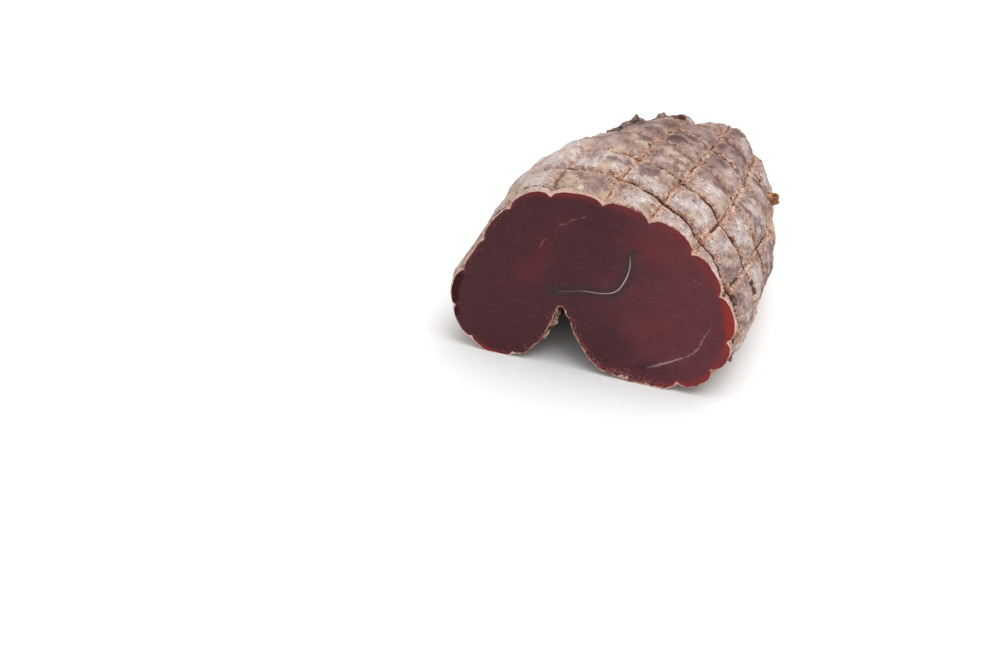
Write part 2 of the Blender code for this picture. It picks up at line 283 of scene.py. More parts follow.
def relief(around, along):
    """Height of the pressed crust over the smooth surface, and how near the crown of a pillow."""
    around = (around - cord_drift(along)) % OUTLINE_LENGTH
    cord_phase = phase_between(CORDS, around)
    ring_phase = phase_between(ring_places(around), along)
    height = by_pillow(PILLOW_SEED, PILLOW_HEIGHTS_VARY, ring_phase, cord_phase)
    crown = bulge(cord_phase) * (1.0 - RING_DEPTH + RING_DEPTH * bulge(ring_phase))
    pillow = PILLOW_HEIGHT * (crown * height - PILLOW_MEAN) * netted(around, along)
    waves = [np.sin(around / wide + along / long + start) for wide, long, start in UNEVEN_WAVES]
    height = pillow + UNEVEN_HEIGHT * np.mean(waves, axis=0)
    height = spotted(height, around, along, SWELLS, join=np.add)
    height = height * (1.0 - smoothstep(SURFACE_LENGTH - END_FADE, SURFACE_LENGTH, along))
    return height, crown


def outward(around, along):
    """Direction out of the smooth surface, turned into the cut's own plane at the cut."""
    along = np.clip(along, SLOPE_STEP, SURFACE_LENGTH - 2.0 * SLOPE_STEP)
    ahead = smooth_surface(around + SLOPE_STEP, along)
    behind = smooth_surface(around, along + SLOPE_STEP)
    tangent_round = ahead - smooth_surface(around - SLOPE_STEP, along)
    tangent_back = behind - smooth_surface(around, along - SLOPE_STEP)
    normal = np.cross(tangent_round, tangent_back)
    normal = normal / np.linalg.norm(normal, axis=-1, keepdims=True)
    cut_normal = np.array([0.0, -math.cos(CUT_LEAN), math.sin(CUT_LEAN)])
    near_cut = (1.0 - smoothstep(SLOPE_STEP, NEAR_CUT, along))[..., None]
    sideways = np.sum(normal * cut_normal, axis=-1, keepdims=True)
    normal = normal - near_cut * sideways * cut_normal
    return normal / np.linalg.norm(normal, axis=-1, keepdims=True)


def press_on_table(points, along):
    """Press the underside flat where the piece lies on the table."""
    x, y, z = np.moveaxis(points, -1, 0)
    sunk = SETTLED * smoothstep(*SETTLES_BEHIND, y) * (1.0 - smoothstep(*SETTLES_BELOW, z))
    pressed = np.maximum(z - sunk, 0.0)
    lean = math.tan(CUT_LEAN) * (1.0 - np.interp(along, TRAVELLED, BEHIND_CUT) / LENGTH)
    return np.stack([x, y + (pressed - z) * lean, pressed], axis=-1)


def wander(points, size, seed, octaves):
    """Give soft random values, about -1 to 1, that change over a distance of size."""
    offset = Vector((seed, -seed, 0.5 * seed))
    flat = [noise.fractal(Vector(point) / size + offset, OCTAVE_FADE, OCTAVE_STEP, octaves)
            for point in points.reshape(-1, 3)]
    return np.array(flat).reshape(points.shape[:-1])


def near(gap, half_width):
    """Give 1 on a line, falling softly to 0 beside it."""
    return np.exp(-(gap / half_width) ** 2)


def round_cut(stations, around):
    """Follow the named stations round the outline."""
    return np.interp(around, *zip(*stations), period=OUTLINE_LENGTH)


FACES_ACROSS_PILLOW = 24
FACES_ACROSS_CLEFT = 100
FACES_BEFORE_FIRST_RING = 18
FACES_ALONG_PILLOW = 24
FACES_PAST_LAST_RING = 30
CROWDING = 0.45


def crowded(count):
    """Give even shares of a gap, brought closer to the two cords beside it."""
    share = np.arange(count) / count
    return share - CROWDING * np.sin(2.0 * math.pi * share) / (2.0 * math.pi)


def crust_places():
    """Give the rows of the crust as places round the outline and along the surface."""
    places = []
    for cord, next_cord in zip(CORDS[:-1], CORDS[1:]):
        places.extend(cord + (next_cord - cord) * crowded(FACES_ACROSS_PILLOW))
    to_first_cord = OUTLINE_LENGTH + CORDS[0]
    places.extend(np.linspace(CORDS[-1], to_first_cord, FACES_ACROSS_CLEFT, endpoint=False))
    around = np.array(places) % OUTLINE_LENGTH
    stops = [np.zeros_like(around)] + list(ring_places(around)[1:])
    stops.append(np.full_like(around, SURFACE_LENGTH))
    counts = [FACES_BEFORE_FIRST_RING] + [FACES_ALONG_PILLOW] * (len(stops) - 3)
    counts.append(FACES_PAST_LAST_RING)
    rows = []
    for stop, next_stop, count in zip(stops[:-1], stops[1:], counts):
        for share in crowded(count):
            rows.append(stop + (next_stop - stop) * share)
    rows.append(stops[-1])
    return around, np.array(rows)


CRACK_DEPTH = 1.1
CRACK_HALF_WIDTH = 0.75
CORD_CRACK_DEPTH = 0.7
CORD_CRACK_HALF_WIDTH = 0.9
CRACK_WANDER = 1.1
CRACKED_SIDE = (147.0, 187.0)
LIP_HEIGHT = 0.3
LIP_DISTANCE = 1.8
LIP_HALF_WIDTH = 0.9
DENT_HEIGHT = 0.9
CREASE_DEPTH = 0.9
CREASE_SHARPNESS = 0.7
CREASE_MEAN = 0.3
FLAKE_HEIGHT = 0.7
FLAKES_WITHIN = (0.6, 3.8)
CLEFT_ROUGHNESS = 1.3
CLEFT_STRETCH = (1.0, 0.35, 1.0)
# Size, seed and octaves of each random pattern
CRACK_STRAY = (9.0, 3.1, 2)
RING_OPENING = (11.0, 8.2, 2)
CORD_OPENING = (9.0, 5.7, 2)
DENTS = (8.0, 1.7, 4)
CREASES = (5.0, 7.9, 3)
CLEFT_WRINKLES = (4.0, 6.1, 4)
FLAKES = (2.2, 9.4, 3)
PIT_STRAY = (1.6, 5.2, 2)
RIM_STRAY = (5.0, 2.9, 2)
RIM_BREAKS = (1.9, 6.6, 3)
PITS = (
    (241.3, 19.8, 1.5), (244.9, 20.4, 1.8), (247, 17.4, 1.2), (247.6, 14.4, 0.8),
    (191.5, 25.2, 0.9), (189.6, 25.8, 0.7), (168.3, 43.2, 0.8),
)
PIT_DEPTH = 1.1
PIT_STEEPNESS = 4
PIT_RAGGEDNESS = 0.7
# Mauve stains, and one spot of painted shade beside the cut's rim on the right
STAINS_AND_SHADE = (
    (162, 21, 4.5, 3, 0.9), (238.8, 3, 4.4, 2.4, 1.5), (162.5, 34.8, 7, 5, 0.6),
    (164.9, 59.7, 10, 7, 0.7), (174.6, 60, 7, 6, 0.7), (197.6, 57, 7.5, 9, 0.75),
    (176, 37.5, 4, 3, 0.5), (206, 64.5, 3, 5, 0.7), (222, 52, 8, 7, 0.4), (146, 46, 9, 7, 0.45),
    (143, 71, 9, 11, 0.8), (166, 80, 10, 8, 0.6), (137, 96, 22, 18, 0.9), (108, 110, 20, 14, 0.8),
    (150, 112, 18, 12, 0.7), (86, 122, 16, 9, 0.7), (205, 126, 18, 9, 0.7), (290, 124, 16, 9, 0.6),
    (258, 44, 8, 9, 0.5), (104, 40, 9, 9, 0.4),
)
YELLOWED = (
    (161, 15.5, 5.5, 4.5, 0.8), (170, 2.5, 5.5, 3, 0.85), (160, 29.5, 5, 3.5, 0.6),
    (170, 43, 4, 3.5, 0.5), (190.5, 28, 3.5, 3, 0.5), (118, 55, 6, 5, 0.4),
)
STAIN_CORE = 0.2
OUTLINE_ROUGHNESS = 0.35
ROUGH_BEHIND_CUT = 1.5
RIM_CRACK_ALONG = 1.9
RIM_CRACK_HALF_WIDTH = 0.45
RIM_CRACK_STRAYS = 0.5
RIM_CRACK_DEPTH = 0.5
RIM_CRACK_OPENS = ((106, 0), (116, 0.7), (128, 0.8), (150, 1), (158, 0.4), (163, 0))
MOULD_RINGS = ((159, 2), (126, 24), (222, 33))
# Patches where the crust is darker and mauver: mould in most, painted shade in some, such as beside
# the cut's rim on the right
DARKER_PATCHES = (
    (165, 62, 42, 46, 1.1), (183, 25, 15, 13, 1), (168, 26, 12, 9, 0.3), (156, 26, 13, 10, 0.5),
    (161, 6, 13, 11, 1), (200, 78, 15, 16, 1.4), (200, 43, 12, 14, 1.1), (141, 80, 20, 18, 1.5),
    (160, 40, 8, 9, 1.4), (218, 62, 24, 30, 0.5), (240, 10, 14, 12, 0.55), (229, 9, 12, 9, 0.8),
    (256, 22, 14, 14, 0.3), (224, 68, 14, 20, 0.8), (240, 60, 26, 40, 0.3), (270, 60, 40, 60, 0.4),
    (128, 104, 44, 26, 1.3), (198, 104, 34, 26, 0.6), (235, 126, 90, 16, 0.9),
)
DARKER_PATCH_CORE = 0.4
TONE_SEED = 4
TONES_VARY = (-1.0, 1.0)

column_around, row_along = crust_places()
crust_around = column_around + cord_drift(row_along)
net_around = np.broadcast_to(column_around, row_along.shape)
smooth_points = smooth_surface(crust_around, row_along)
height, crown = relief(crust_around, row_along)
in_net = netted(net_around, row_along)

stray = CRACK_WANDER * wander(smooth_points, *CRACK_STRAY)
cord_gap = np.min([np.abs(net_around - cord + stray) for cord in CORDS], axis=0)
ring_gap = np.min(np.abs(ring_places(column_around)[:, None, :] - row_along[None] + stray), axis=0)
ring_phase = phase_between(ring_places(net_around), row_along)
toward_back = ring_phase - np.floor(ring_phase)
tone = by_pillow(TONE_SEED, TONES_VARY, ring_phase, phase_between(CORDS, net_around))
on_right = smoothstep(*CRACKED_SIDE, net_around)


def opened(pattern, everywhere, more_on_right, by_chance):
    """Give how far the crust has cracked open along the net's marks, from 0 to 1."""
    chance = wander(smooth_points, *pattern)
    return np.clip(everywhere + more_on_right * on_right + by_chance * chance, 0.0, 1.0) * in_net


ring_open = opened(RING_OPENING, everywhere=0.05, more_on_right=0.75, by_chance=0.95)
cord_open = opened(CORD_OPENING, everywhere=-0.15, more_on_right=0.3, by_chance=1.0)
rim_crack = near(row_along - RIM_CRACK_ALONG + RIM_CRACK_STRAYS * stray, RIM_CRACK_HALF_WIDTH)
rim_crack = rim_crack * round_cut(RIM_CRACK_OPENS, net_around)

cracks = CRACK_DEPTH * ring_open * near(ring_gap, CRACK_HALF_WIDTH)
cord_cracks = CORD_CRACK_DEPTH * cord_open * near(cord_gap, CORD_CRACK_HALF_WIDTH)
cracks = np.maximum(np.maximum(cracks, cord_cracks), RIM_CRACK_DEPTH * rim_crack)
lips = LIP_HEIGHT * ring_open * near(ring_gap - LIP_DISTANCE, LIP_HALF_WIDTH)
dents = DENT_HEIGHT * wander(smooth_points, *DENTS)
creases = np.abs(wander(smooth_points, *CREASES)) ** CREASE_SHARPNESS - CREASE_MEAN
wrinkles = CLEFT_ROUGHNESS * wander(smooth_points * CLEFT_STRETCH, *CLEFT_WRINKLES)
near_line = 1.0 - smoothstep(*FLAKES_WITHIN, np.minimum(cord_gap, ring_gap))
flakes = FLAKE_HEIGHT * np.abs(wander(smooth_points, *FLAKES)) * near_line
fine = dents + CREASE_DEPTH * creases * crown + wrinkles * (1.0 - in_net) + flakes + lips - cracks
pits = np.zeros_like(fine)
pit_stray = wander(smooth_points, *PIT_STRAY)
for pit_around, pit_along, half_size in PITS:
    away = np.hypot(net_around - pit_around, row_along - pit_along) / half_size
    pits = np.maximum(pits, np.exp(-(away + PIT_RAGGEDNESS * pit_stray) ** PIT_STEEPNESS))
fine = fine - PIT_DEPTH * pits
behind_outline = smoothstep(0.0, ROUGH_BEHIND_CUT, row_along)
fine = fine * np.maximum(behind_outline, OUTLINE_ROUGHNESS * (1.0 - in_net))
fine = fine * (1.0 - smoothstep(SURFACE_LENGTH - END_FADE, SURFACE_LENGTH, row_along))
out = outward(crust_around, row_along)
crust_points = press_on_table(smooth_points + (height + fine)[..., None] * out, row_along)

RIM_WIDTHS = (
    (0, 0.2), (12, 0.2), (28, 0.3), (38, 0.2), (72, 0.15), (90, 0.2), (110, 0.3), (135, 0.35),
    (150, 0.6), (168, 0.5), (176, 0.5), (192, 0.6), (204, 0.2), (215, 0.15), (240, 0.2), (265, 0.2),
    (285, 0.15), (300, 0.3), (314, 0.4), (322, 0.2), (340, 0.15),
)
RIND_PALENESS = (
    (0, 0.3), (28, 0.5), (40, 0.9), (66, 0.95), (90, 0.7), (130, 0.6), (150, 1), (168, 0.9),
    (176, 0.4), (212, 0.5), (235, 0.7), (255, 0.75), (268, 0.4), (300, 0.55), (320, 0.4),
)
RIM_VARIES = 0.4
RIM_RAGGEDNESS = (
    (0, 1), (14, 0.6), (30, 0.6), (42, 0.3), (100, 0.4), (150, 0.2), (288, 0.3), (300, 1.8),
    (316, 2), (324, 1), (342, 0.6), (352, 1),
)
NOTCH_FILLING = 0.7
NOTCH_HALF_WIDTH = 1.3
SEAT_DEPTH = 1.5
RIM_ROWS = 2
cut_outline = crust_points[0]
into_meat = np.array([0.0, math.cos(CUT_LEAN), -math.sin(CUT_LEAN)])
rim_width = round_cut(RIM_WIDTHS, column_around)
rim_width = rim_width * (1.0 + RIM_VARIES * wander(cut_outline, *RIM_STRAY))
raggedness = round_cut(RIM_RAGGEDNESS, column_around)
rim_width = rim_width + raggedness * np.abs(wander(cut_outline, *RIM_BREAKS))
notch_gap = np.min([np.abs(column_around - cord) for cord in CORDS], axis=0)
rim_width = rim_width + NOTCH_FILLING * near(notch_gap, NOTCH_HALF_WIDTH)
rim_inside = cut_outline - rim_width[:, None] * out[0]
rim_inside[:, 1] += np.maximum(-rim_inside[:, 2], 0.0) * math.tan(CUT_LEAN)
seat_floor = rim_inside + SEAT_DEPTH * into_meat

# Place of the object's origin, under its middle, from the foot of the cut
ORIGIN = (2.368, 55.049, 0.0)
crust_rows = np.concatenate([seat_floor[None], rim_inside[None], crust_points])
row_count, column_count = crust_rows.shape[:2]
bpy.ops.mesh.primitive_grid_add(x_subdivisions=column_count, y_subdivisions=row_count - 1, size=1.0)
crust = bpy.context.object
crust.name = "crust"
grid = np.empty(len(crust.data.vertices) * 3)
crust.data.vertices.foreach_get("co", grid)
grid = grid.reshape(-1, 3)
grid_column = np.rint((grid[:, 0] + 0.5) * column_count).astype(int) % column_count
grid_row = np.rint((grid[:, 1] + 0.5) * (row_count - 1)).astype(int)


def in_frame(points):
    """Bring points into the frame, in metres from its origin and inside the solid's box."""
    return np.clip((points - np.array(ORIGIN)) * MM, *cecina_box)


def keep_on_mesh(piece, name, values):
    """Keep one number for each point of a piece, for its material to read."""
    attribute = piece.data.attributes.new(name, "FLOAT", "POINT")
    attribute.data.foreach_set("value", np.asarray(values, dtype=np.float32))


def on_grid(values, at_rim):
    """Give a value of the crust's surface to the points of its grid, with its own at the rim."""
    rows = np.concatenate([np.full((RIM_ROWS, column_count), at_rim), values])
    return rows[grid_row, grid_column]


crust.data.vertices.foreach_set("co", in_frame(crust_rows[grid_row, grid_column]).ravel())

RIND_THICKNESS = 0.5
FAR_GAP = 9.0
AT_RIM = dict(crown=1.0, net=1.0, rind=1.0, around=100.0,
              ring_gap=FAR_GAP, cord_gap=FAR_GAP, mould_ring=FAR_GAP)
surface_values = dict(
    crown=crown * in_net, ring_gap=ring_gap, cord_gap=cord_gap, ring_open=ring_open,
    cord_open=cord_open, net=in_net, rind=1.0 - smoothstep(0.0, RIND_THICKNESS, row_along),
    along=row_along, around=net_around, toward_back=toward_back, tone=tone, pit=pits,
    weathered=spotted(0.0, net_around, row_along, DARKER_PATCHES, DARKER_PATCH_CORE),
    mould_ring=np.min([np.hypot(net_around - ring_around, row_along - ring_along)
                       for ring_around, ring_along in MOULD_RINGS], axis=0),
    rim_crack=rim_crack,
    bruise=spotted(0.0, net_around, row_along, STAINS_AND_SHADE, STAIN_CORE),
    yellowed=spotted(0.0, net_around, row_along, YELLOWED, STAIN_CORE),
)
for name, values in surface_values.items():
    keep_on_mesh(crust, name, on_grid(values, AT_RIM.get(name, 0.0)))
keep_on_mesh(crust, "rind_pale", round_cut(RIND_PALENESS, column_around)[grid_column])

MERGE_DISTANCE = 1e-6
CRUST_SMOOTH_UNDER = 60.0


def face_outwards(smooth_under):
    """Turn the faces of the piece in edit mode outwards, smooth where they turn by less."""
    bpy.ops.mesh.select_all(action="SELECT")
    bpy.ops.mesh.normals_make_consistent(inside=False)
    bpy.ops.object.mode_set(mode="OBJECT")
    bpy.ops.object.shade_smooth_by_angle(angle=math.radians(smooth_under))


bpy.ops.object.mode_set(mode="EDIT")
bpy.ops.mesh.select_mode(type="VERT")
bpy.ops.mesh.select_all(action="SELECT")
bpy.ops.mesh.remove_doubles(threshold=MERGE_DISTANCE)
bpy.ops.mesh.select_all(action="DESELECT")
bpy.ops.mesh.select_non_manifold()
bpy.ops.mesh.edge_face_add()
face_outwards(CRUST_SMOOTH_UNDER)


def tint(red, green, blue):
    """Turn a colour named as on a screen, 0 to 255, into the light that a material takes."""
    share = np.array([red, green, blue]) / 255.0
    light = np.where(share <= 0.04045, share / 12.92, ((share + 0.055) / 1.055) ** 2.4)
    return (*light, 1.0)


class Wire:
    """A number, colour or vector on its way through a material, so that sums add its nodes."""

    def __init__(self, tree, socket=None):
        self.tree = tree
        self.socket = socket

    def kept(self, name):
        """Read a number that is kept on the mesh."""
        return self.add("ShaderNodeAttribute", {"attribute_name": name}, {}, output="Fac")

    def add(self, kind, settings, inputs, output=0):
        """Add a node with its settings, feed its sockets and give one of its outputs."""
        node = self.tree.nodes.new(kind)
        for name, value in settings.items():
            if name == "stops":
                for place, colour in value[2:]:
                    node.color_ramp.elements.new(place)
                for stop, (place, colour) in zip(node.color_ramp.elements, value):
                    stop.position = place
                    stop.color = colour
            else:
                setattr(node, name, value)
        for name, value in inputs.items():
            if isinstance(value, Wire):
                self.tree.links.new(value.socket, node.inputs[name])
            else:
                node.inputs[name].default_value = value
        return Wire(self.tree, node.outputs[output])

    def math(self, operation, first, second, clamp=False):
        """Add a Math node."""
        settings = {"operation": operation, "use_clamp": clamp}
        return self.add("ShaderNodeMath", settings, {0: first, 1: second})

    def __add__(self, other):
        return self.math("ADD", self, other)

    def __radd__(self, other):
        return self.math("ADD", other, self)

    def __sub__(self, other):
        return self.math("SUBTRACT", self, other)

    def __rsub__(self, other):
        return self.math("SUBTRACT", other, self)

    def __mul__(self, other):
        return self.math("MULTIPLY", self, other)

    def __rmul__(self, other):
        return self.math("MULTIPLY", other, self)

    def clipped(self):
        """Keep a number between 0 and 1."""
        return self.math("ADD", self, 0.0, clamp=True)

    def lower(self, other):
        """Take the lower of two numbers."""
        return self.math("MINIMUM", self, other)

    def higher(self, other):
        """Take the higher of two numbers."""
        return self.math("MAXIMUM", self, other)

    def rise(self, low, high, lowest=0.0, highest=1.0):
        """Rise softly from 0 at low to 1 at high."""
        inputs = {"Value": self, "From Min": low, "From Max": high,
                  "To Min": lowest, "To Max": highest}
        return self.add("ShaderNodeMapRange", {"interpolation_type": "SMOOTHSTEP"}, inputs)

    def fall(self, low, high):
        """Fall softly from 1 at low to 0 at high."""
        return self.rise(low, high, lowest=1.0, highest=0.0)

    def ramp(self, *stops):
        """Turn a number into a colour by stops of place and colour, in rising order."""
        return self.add("ShaderNodeValToRGB", {"stops": stops}, {"Fac": self})

    def paint(self, share, colour, mode="MIX"):
        """Lay another colour over this one, as strongly as share says."""
        settings = {"data_type": "RGBA", "blend_type": mode}
        painted = self.add("ShaderNodeMix", settings, {0: share, 6: self, 7: colour}, output=2)
        self.socket = painted.socket

    def noise(self, size, detail=3.0, roughness=0.55, distortion=0.0):
        """Give soft random values, -0.5 to 0.5, that change over a distance of size in metres."""
        inputs = {"Vector": self, "Scale": 1.0 / size, "Detail": detail,
                  "Roughness": roughness, "Distortion": distortion}
        return self.add("ShaderNodeTexNoise", {}, inputs) - 0.5

    def stretched(self, shares):
        """Stretch places by a share along each axis."""
        return self.add("ShaderNodeVectorMath", {"operation": "MULTIPLY"}, {0: self, 1: shares})


def new_finish(piece, name, roughness):
    """Give a piece a new material, and return its shader and its places, to add nodes to."""
    finish = bpy.data.materials.new(name)
    finish.use_nodes = True
    piece.data.materials.append(finish)
    shader = finish.node_tree.nodes["Principled BSDF"]
    shader.inputs["Roughness"].default_value = roughness
    return shader, Wire(finish.node_tree).add("ShaderNodeTexCoord", {}, {}, output="Object")


def surface(shader, colour, height, distance, strength):
    """Give a shader its colour, and a bump that follows height over a distance in metres."""
    inputs = {"Height": height, "Distance": distance, "Strength": strength}
    bumped = colour.add("ShaderNodeBump", {}, inputs)
    colour.tree.links.new(colour.socket, shader.inputs["Base Color"])
    colour.tree.links.new(bumped.socket, shader.inputs["Normal"])


DUSTED_AND_LIT = (
    (0.0, tint(108, 80, 76)),
    (0.3, tint(146, 116, 110)),
    (0.55, tint(178, 156, 147)),
    (0.8, tint(197, 184, 182)),
    (1.0, tint(217, 209, 208)),
)
TORN = (
    (0.0, tint(120, 76, 54)),
    (0.3, tint(176, 128, 102)),
    (0.6, tint(216, 178, 156)),
    (1.0, tint(242, 216, 198)),
)
MAUVE = tint(138, 112, 108)
TAN_DUST = tint(206, 180, 150)
LAVENDER = tint(160, 150, 168)
RUST = tint(146, 80, 42)
DARK_MAUVE = tint(158, 136, 142)
GREY_MOULD_AND_SHADE = tint(186, 172, 158)
BROWN = tint(116, 70, 46)
CRACK_SHADE = tint(72, 38, 26)
SPECK = tint(112, 80, 66)
FLECK = tint(244, 234, 224)
PEACH = tint(220, 182, 160)
CLEFT_TAN = tint(172, 126, 94)
CLEFT_SHADE = tint(118, 84, 60)
BEIGE = tint(182, 162, 148)
YELLOW_DUST = tint(204, 178, 142)
CUT_RIND = tint(112, 44, 42)
RIND_PALE = tint(240, 200, 186)
RIND_TAN = tint(166, 116, 94)
PALER_LEFT = (135.0, 175.0)
CLEFT_LEFT_WALL = (32.0, 46.0)
CLEFT_RIGHT_WALL = (294.0, 308.0)
CLEFT_SHADE_DEEPENS = (1.5, 9.0)
CRUST_ROUGHNESS = 0.9
CRUST_GRAIN_DEPTH = 0.0011
CRUST_GRAIN_STRENGTH = 0.9

crust_shader, places = new_finish(crust, "mouldy_crust", CRUST_ROUGHNESS)
kept = places.kept
broad = places.noise(0.022, detail=2.0)
patches = places.noise(0.011)
middling = places.noise(0.005, detail=5.0, roughness=0.62)
small = places.noise(0.0018, detail=4.0, roughness=0.65)
grain = places.noise(0.0008, detail=2.0, roughness=0.6)
dots = places.noise(0.0012, detail=2.0, roughness=0.5)
in_net = kept("net")
ring_gap = kept("ring_gap")
cord_gap = kept("cord_gap")
furrow_gap = cord_gap.lower(ring_gap)
# Patches painted darker and mauver: mould, with painted shade in some of them
weathered = kept("weathered")
leftward = kept("around").fall(*PALER_LEFT)

# Pale mould dust, with painted light that makes the crown of each pillow paler
dust_and_crown_light = kept("crown") * 0.5 + middling * 1.5 + broad * 0.7
dust_and_crown_light = dust_and_crown_light + small * 1.2 + grain + kept("tone") * 0.07
dust_and_crown_light = dust_and_crown_light + 0.24 + leftward * 0.08 - weathered * 0.3
crust_colour = dust_and_crown_light.ramp(*DUSTED_AND_LIT)
paint = crust_colour.paint
mauve_share = patches * 3.4 + small * 1.6 + weathered * 0.6
mauve_share = mauve_share.rise(0.2, 1.0) * (0.5 + weathered * 0.3 - leftward * 0.2)
paint(mauve_share, MAUVE)
tan_share = (patches + small * 0.3 - leftward * 0.06).fall(-0.2, 0.0) * 0.5
paint(tan_share, TAN_DUST)
bluish = (places.noise(0.0085, distortion=0.6) + small * 0.15).rise(0.08, 0.18)
paint(bluish * 0.4, LAVENDER)
blotches = places.noise(0.0075) + small * 0.12 + weathered * 0.09
paint(blotches.rise(0.04, 0.2) * 0.85, DARK_MAUVE, "MULTIPLY")
paint(leftward * 0.35, BEIGE)
# Painted shade, with grey mould, over the back end of each pillow
shaded_back = kept("toward_back").rise(0.45, 0.95) * 0.6 + broad * 3.5
shaded_back = (shaded_back + small * 1.4).rise(0.45, 1.0) * (1.0 - leftward * 0.7)
paint(shaded_back * 0.8, GREY_MOULD_AND_SHADE, "MULTIPLY")

torn_gap = furrow_gap + middling * 4.6 + small * 3.2
torn_edge = torn_gap.fall(0.6, 3.0) * in_net * (0.95 - leftward * 0.7 - weathered * 0.3)
torn_colour = (small * 2.4 + grain * 1.4 + patches * 1.2 + 0.5).ramp(*TORN)
paint(torn_edge * 0.85, torn_colour)
specks = (dots + torn_edge * 0.06 + weathered * 0.03).rise(0.1, 0.18) * (0.4 + torn_edge * 0.35)
paint(specks, SPECK)
flecks = (dots - torn_edge * 0.03).fall(-0.24, -0.16) * (0.3 + torn_edge * 0.35)
paint(flecks, FLECK)
# Mauve stains, with painted shade in the spot beside the cut's rim on the right
bruise = kept("bruise") + small * 1.8 + grain * 1.2 + middling * 1.8
bruise = bruise.rise(0.15, 1.0) * kept("bruise").rise(0.0, 0.3)
paint(bruise, DARK_MAUVE, "MULTIPLY")
yellowed = (kept("yellowed") + small * 0.8 + middling * 0.8).rise(0.2, 0.7)
paint(yellowed * kept("yellowed").rise(0.0, 0.3) * 0.5, YELLOW_DUST)
near_cut = kept("along") + middling * 3.4 + small * 2.6
near_cut = near_cut.fall(0.3, 2.4) * (0.35 + patches * 1.2).clipped()
paint(near_cut, PEACH)
mould_ring = kept("mould_ring")
paint(mould_ring.fall(0.9, 1.3) * 0.5, FLECK)
paint(mould_ring.fall(0.45, 0.85) * 0.6, SPECK)

opening = kept("ring_open").higher(kept("cord_open"))
furrow_jitter = small * 2.0 + grain * 1.2 + dots
furrow_floor = (furrow_gap + furrow_jitter * 0.8 + 0.15).fall(0.25, 1.0) * in_net
furrow_floor = furrow_floor * (0.05 + opening * 0.7) * (1.0 - leftward * 0.3)
paint(furrow_floor.clipped() * 0.85, BROWN)
crossing = (cord_gap + ring_gap + middling * 6.0 + small * 4.0).fall(0.8, 3.2)
crossing = crossing * in_net * broad.rise(-0.11, 0.07)
paint(crossing * 0.7, RUST)
ring_crack = (ring_gap + furrow_jitter * 0.6).fall(0.15, 0.95) * kept("ring_open")
cord_crack = (cord_gap + furrow_jitter * 0.6).fall(0.1, 1.0) * kept("cord_open")
rim_crack = (kept("rim_crack") + small * 2.2 + grain * 1.2).rise(0.5, 0.85)
rim_crack = rim_crack * kept("rim_crack").rise(0.05, 0.4)
pit = kept("pit")
pit_edge = (pit + small * 0.3).rise(0.01, 0.1)
paint(pit_edge * 0.45, PEACH)
# Painted shade inside the open cracks, the rim crack and the pits
crack_shade = ring_crack.higher(cord_crack).rise(0.15, 0.55).higher(rim_crack)
crack_shade = crack_shade.higher((pit + small * 0.5).rise(0.1, 0.5) * pit.rise(0.05, 0.2))
paint(crack_shade * 0.92, CRACK_SHADE)
# The cleft's walls are tan crust without mould, with painted shade that deepens further into the
# cleft
cleft_depth = (kept("along") + middling * 6.0).rise(*CLEFT_SHADE_DEEPENS)
left_of_cleft = kept("around").fall(*CLEFT_LEFT_WALL)
right_of_cleft = kept("around").rise(*CLEFT_RIGHT_WALL)
in_cleft = (left_of_cleft.higher(right_of_cleft) * cleft_depth).higher(1.0 - in_net)
cleft_tan_and_shade = cleft_depth.ramp((0.0, CLEFT_TAN), (1.0, CLEFT_SHADE))
paint(in_cleft * 0.95, cleft_tan_and_shade, "MULTIPLY")
rind_pale = (kept("rind_pale") + small * 2.4 + middling * 1.2).clipped()
rind_colour = rind_pale.ramp((0.0, RIND_TAN), (1.0, RIND_PALE))
broken = (kept("rind_pale") * 0.7 + middling * 1.6 + small * 2.2).rise(0.05, 0.3)
rind_colour.paint(1.0 - broken, CUT_RIND)
paint(kept("rind") * 0.85, rind_colour)
crust_grain = middling * 0.25 + small * 0.8 + grain * 0.45 + dots * 0.3
surface(crust_shader, crust_colour, crust_grain, CRUST_GRAIN_DEPTH, CRUST_GRAIN_STRENGTH)
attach(crust, "root")
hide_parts("cecina")


# Cut meat: the face of the cut, dark and moist, see-through near its edge, crossed by two lines of
# pale silverskin between the muscles. Painted into its colour are a red glow of light shining
# through it near its edge, a sheen that lightens it towards the right, and shade beside the middle
# silverskin and where its edge curls over. It is a thin slab that lies in the crust's seat.
SLAB_THICKNESS = 1.4
SLAB_GAP = 0.02
SLAB_GRID = 0.85
SLAB_SUNK = 0.08
SLAB_SEED = 5
SLAB_SHIFT = 0.25
SLAB_CLEARANCE = 0.6
KEEP_INSIDE = 1
SAME_PLACE = 1e-4
CUT_SMOOTH_UNDER = 40.0
SILVERSKIN_MIDDLE = (
    (-16, 34), (-9, 35.6), (-2.7, 37), (0.8, 37.2), (4.2, 37.5), (7.6, 38.3), (10.8, 40.3),
    (13.1, 44.2), (14.5, 48.5), (15, 52.5), (14.6, 56.4),
)
MIDDLE_STRENGTH = (
    (0, 0), (0.1, 0.12), (0.25, 0.15), (0.33, 0.45), (0.5, 0.6), (0.62, 0.95), (0.8, 1),
    (0.92, 0.6), (1, 0.2),
)
SILVERSKIN_RIGHT = (
    (26, 7.8), (30.4, 10.2), (35.4, 12.9), (39.3, 15.2), (42.5, 17.2), (45.4, 19.8), (47.2, 22.6),
    (48.2, 25.8), (49.4, 29), (50.6, 32), (51.4, 34.8),
)
RIGHT_STRENGTH = (
    (0, 0), (0.08, 0.35), (0.2, 0.9), (0.36, 1), (0.5, 0.7), (0.7, 0.75), (0.88, 0.4), (1, 0),
)
SCRATCHES = (
    ((-16.4, 64.1), (-13, 65.2), (-11.2, 67.1), (-8.1, 68.4), (-5.7, 70)),
    ((-23.8, 52.2), (-21.6, 56.4)), ((42, 51.6), (46, 50.6)),
)
